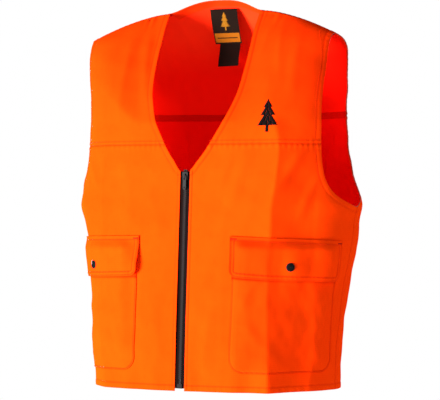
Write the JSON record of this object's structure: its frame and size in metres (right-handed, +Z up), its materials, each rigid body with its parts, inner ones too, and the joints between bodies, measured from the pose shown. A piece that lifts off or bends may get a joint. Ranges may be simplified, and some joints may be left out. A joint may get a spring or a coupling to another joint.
{
  "type": "hunting vest",
  "caption": "Sleeveless high-visibility orange vest with a V neck, zip front, yokes and two large flapped patch pockets.",
  "frame": {"origin": "midpoint between the two high shoulder points, where the shoulder seams meet the neckline", "axes": "+X to the wearer's left, -Y out of the front, +Z up"},
  "size_m": [0.5224, 0.2909, 0.6845],
  "materials": {
    "shell_orange": "matt woven polyester, blaze orange",
    "tape_black": "knitted zip tape",
    "moulded_black": "moulded acetal",
    "slider_black": "black lacquered die casting",
    "snap_black": "black enamelled cap",
    "snap_metal": "black enamelled brass",
    "label_woven": "woven damask label",
    "thread_black": "satin embroidery"
  },
  "bodies": {
    "shell": {"armhole_facing_left": "shell_orange", "armhole_facing_right": "shell_orange", "back_panel": "shell_orange", "back_yoke": "shell_orange", "care_label": "label_woven", "chest_emblem": "thread_black", "front_panel_left": "shell_orange", "front_panel_right": "shell_orange", "front_yoke_left": "shell_orange", "front_yoke_right": "shell_orange", "neck_facing_back": "shell_orange", "neck_facing_left": "shell_orange", "neck_facing_right": "shell_orange", "neck_label": "label_woven", "pocket_bag_left": "shell_orange", "pocket_bag_right": "shell_orange", "snap_post_left": "snap_metal", "snap_post_right": "snap_metal", "snap_stud_left": "snap_metal", "snap_stud_right": "snap_metal", "zipper_insertion_pin": "moulded_black", "zipper_retainer_box": "moulded_black", "zipper_tape_left": "tape_black", "zipper_tape_right": "tape_black", "zipper_teeth_left": "moulded_black", "zipper_teeth_right": "moulded_black", "zipper_top_stops": "moulded_black"},
    "slider": {"zipper_slider": "slider_black", "zipper_slider_back": "slider_black"},
    "pull": {"zipper_pull": "slider_black"},
    "flap_left": {"pocket_flap_left": "shell_orange", "snap_cap_left": "snap_black", "snap_socket_left": "snap_metal"},
    "flap_right": {"pocket_flap_right": "shell_orange", "snap_cap_right": "snap_black", "snap_socket_right": "snap_metal"}
  },
  "joints": [
    {"name": "zip_slide", "type": "slide", "parent": "shell", "child": "slider", "axis": [0.0278, 0.0059, 0.9996], "range_m": [-0.35, 0]},
    {"name": "pull_swing", "type": "hinge", "parent": "slider", "child": "pull", "pos_m": [0.00771, -0.15451, -0.29148], "axis": [-0.9996, 0, 0.0278], "range_deg": [0, 150]},
    {"name": "flap_left_lift", "type": "hinge", "parent": "shell", "child": "flap_left", "pos_m": [0.1931, -0.1214, -0.3995], "axis": [-0.8436, -0.535, 0.0447], "range_deg": [0, 150]},
    {"name": "flap_right_lift", "type": "hinge", "parent": "shell", "child": "flap_right", "pos_m": [-0.1815, -0.1214, -0.3965], "axis": [-0.8442, 0.5358, -0.015], "range_deg": [0, 150]}
  ]
}
